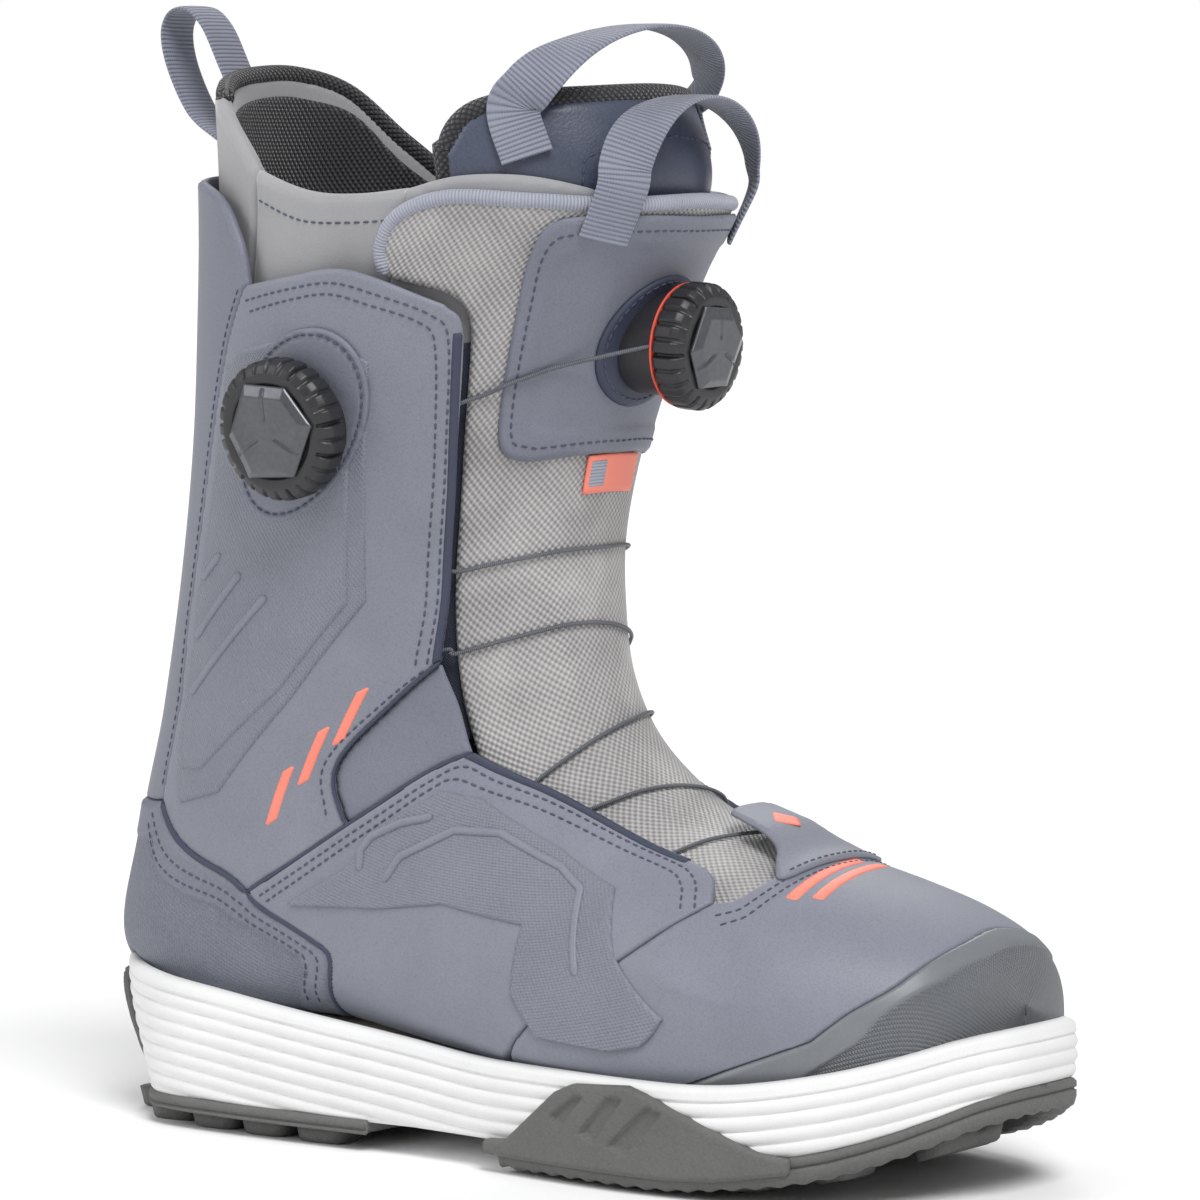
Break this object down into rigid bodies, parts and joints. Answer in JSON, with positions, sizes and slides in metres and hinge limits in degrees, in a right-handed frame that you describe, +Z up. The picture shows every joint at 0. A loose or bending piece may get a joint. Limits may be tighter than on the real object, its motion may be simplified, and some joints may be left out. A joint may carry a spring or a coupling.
{
  "type": "snowboard boot",
  "caption": "Right-foot soft snowboard boot: laminated shell, lugged sole, inner boot, opening tongue and lace dials at cuff and tongue, with webbing pull loops.",
  "frame": {"origin": "centre of the middle heel lug's bottom face, on the floor the boot stands on", "axes": "+X from the heel towards the toe, +Y towards the inner (medial) side of the foot, +Z up along the leg"},
  "size_m": [0.29, 0.1298, 0.3081],
  "materials": {
    "rubber_outsole": "pebbled moulded rubber, matt",
    "foam_midsole": "moulded EVA foam, matt",
    "toe_rubber": "rubberised toe rand with raised dots",
    "heel_rubber": "rubberised heel panel, granular",
    "shell_bluegrey": "synthetic leather, fine embossed grain",
    "shell_grey": "synthetic leather, fine embossed grain",
    "lasting_board": "pressed fibre board",
    "tongue_silver_weave": "coarse laminated weave",
    "webbing": "ribbed woven webbing",
    "label_coral": "woven folded label",
    "gusset_cloth": "thin stretch cloth",
    "liner_mesh": "padded knitted mesh",
    "liner_suede": "brushed microsuede over foam",
    "liner_navy": "smooth coated cloth over foam",
    "footbed_foam": "foam footbed with knitted top",
    "dial_black": "moulded nylon",
    "dial_badge": "satin metallised cap, faceted",
    "dial_steel": "turned steel",
    "pawl_coral": "moulded nylon, coloured",
    "lace_steel": "nylon-coated stainless cable"
  },
  "bodies": {
    "boot": {"heel_tread": "rubber_outsole", "forefoot_tread": "rubber_outsole", "midsole": "foam_midsole", "toe_cap": "toe_rubber", "vamp": "shell_bluegrey", "quarter_lateral": "shell_bluegrey", "quarter_medial": "shell_bluegrey", "ankle_insert_lateral": "shell_bluegrey", "ankle_insert_medial": "shell_bluegrey", "cuff_lateral": "shell_bluegrey", "cuff_medial": "shell_bluegrey", "heel_counter": "heel_rubber", "backstay": "shell_grey", "lasting_board": "lasting_board", "tongue_lower": "tongue_silver_weave", "gusset_lateral": "gusset_cloth", "gusset_medial": "gusset_cloth", "lace_tab": "shell_bluegrey", "cuff_webbing_lateral": "webbing", "cuff_webbing_medial": "webbing", "quarter_webbing_lateral": "webbing", "quarter_webbing_medial": "webbing", "liner_toe": "liner_mesh", "liner_sole": "liner_mesh", "liner_instep": "liner_mesh", "liner_quarter_lateral": "liner_mesh", "liner_quarter_medial": "liner_mesh", "liner_cuff_lateral": "liner_suede", "liner_cuff_medial": "liner_suede", "liner_heel": "liner_mesh", "liner_spine": "liner_suede", "liner_wrap_flap": "liner_suede", "footbed": "footbed_foam", "rear_loop": "webbing", "side_dial_flange": "shell_grey", "side_dial_housing": "dial_black", "front_lace": "lace_steel", "lower_lace": "lace_steel"},
    "shell_tongue": {"tongue_upper": "tongue_silver_weave", "tongue_binding": "webbing", "tongue_shield": "shell_bluegrey", "tongue_label": "label_coral", "shell_tongue_loop": "webbing", "front_dial_flange": "shell_grey", "front_dial_housing": "dial_black"},
    "liner_tongue_pad": {"liner_tongue": "liner_navy", "liner_tongue_loop": "webbing"},
    "side_dial_puller": {"side_dial_core": "dial_steel"},
    "side_dial_grip": {"side_dial_knob": "dial_black", "side_dial_pawl_ring": "pawl_coral", "side_dial_badge": "dial_badge"},
    "side_dial_drum": {"side_dial_spool": "dial_black"},
    "front_dial_puller": {"front_dial_core": "dial_steel"},
    "front_dial_grip": {"front_dial_knob": "dial_black", "front_dial_pawl_ring": "pawl_coral", "front_dial_badge": "dial_badge"},
    "front_dial_drum": {"front_dial_spool": "dial_black"}
  },
  "joints": [
    {"name": "tongue_open", "type": "hinge", "parent": "boot", "child": "shell_tongue", "pos_m": [0.11573, 0, 0.12487], "axis": [0, 1, 0], "range_deg": [0, 16], "stiffness_Nm_per_rad": 0.25, "springref_deg": -14.32, "deforming": ["front_lace", "lower_lace", "gusset_lateral", "gusset_medial", "liner_wrap_flap"]},
    {"name": "liner_tongue_open", "type": "hinge", "parent": "boot", "child": "liner_tongue_pad", "pos_m": [0.10775, 0, 0.12368], "axis": [0, 1, 0], "range_deg": [0, 14.5], "stiffness_Nm_per_rad": 0.15, "springref_deg": -14.32},
    {"name": "side_dial_pull", "type": "slide", "parent": "boot", "child": "side_dial_puller", "axis": [-0.0038, -0.991, -0.1336], "range_m": [0, 0.0025]},
    {"name": "side_dial_turn", "type": "hinge", "parent": "side_dial_puller", "child": "side_dial_grip", "pos_m": [0.04987, -0.05453, 0.19544], "axis": [-0.0038, -0.991, -0.1336], "continuous": true},
    {"name": "side_dial_wind", "type": "hinge", "parent": "boot", "child": "side_dial_drum", "pos_m": [0.04987, -0.05453, 0.19544], "axis": [-0.0038, -0.991, -0.1336], "continuous": true},
    {"name": "front_dial_pull", "type": "slide", "parent": "shell_tongue", "child": "front_dial_puller", "axis": [0.9976, 0, -0.0699], "range_m": [0, 0.0025]},
    {"name": "front_dial_turn", "type": "hinge", "parent": "front_dial_puller", "child": "front_dial_grip", "pos_m": [0.13199, 0, 0.21685], "axis": [0.9976, 0, -0.0699], "continuous": true},
    {"name": "front_dial_wind", "type": "hinge", "parent": "shell_tongue", "child": "front_dial_drum", "pos_m": [0.13199, 0, 0.21685], "axis": [0.9976, 0, -0.0699], "continuous": true}
  ],
  "couplings": [
    {"joint": "liner_tongue_open", "follows": "tongue_open", "ratio": 0.9},
    {"joint": "side_dial_wind", "follows": "side_dial_turn", "ratio": 1},
    {"joint": "front_dial_wind", "follows": "front_dial_turn", "ratio": 1}
  ]
}
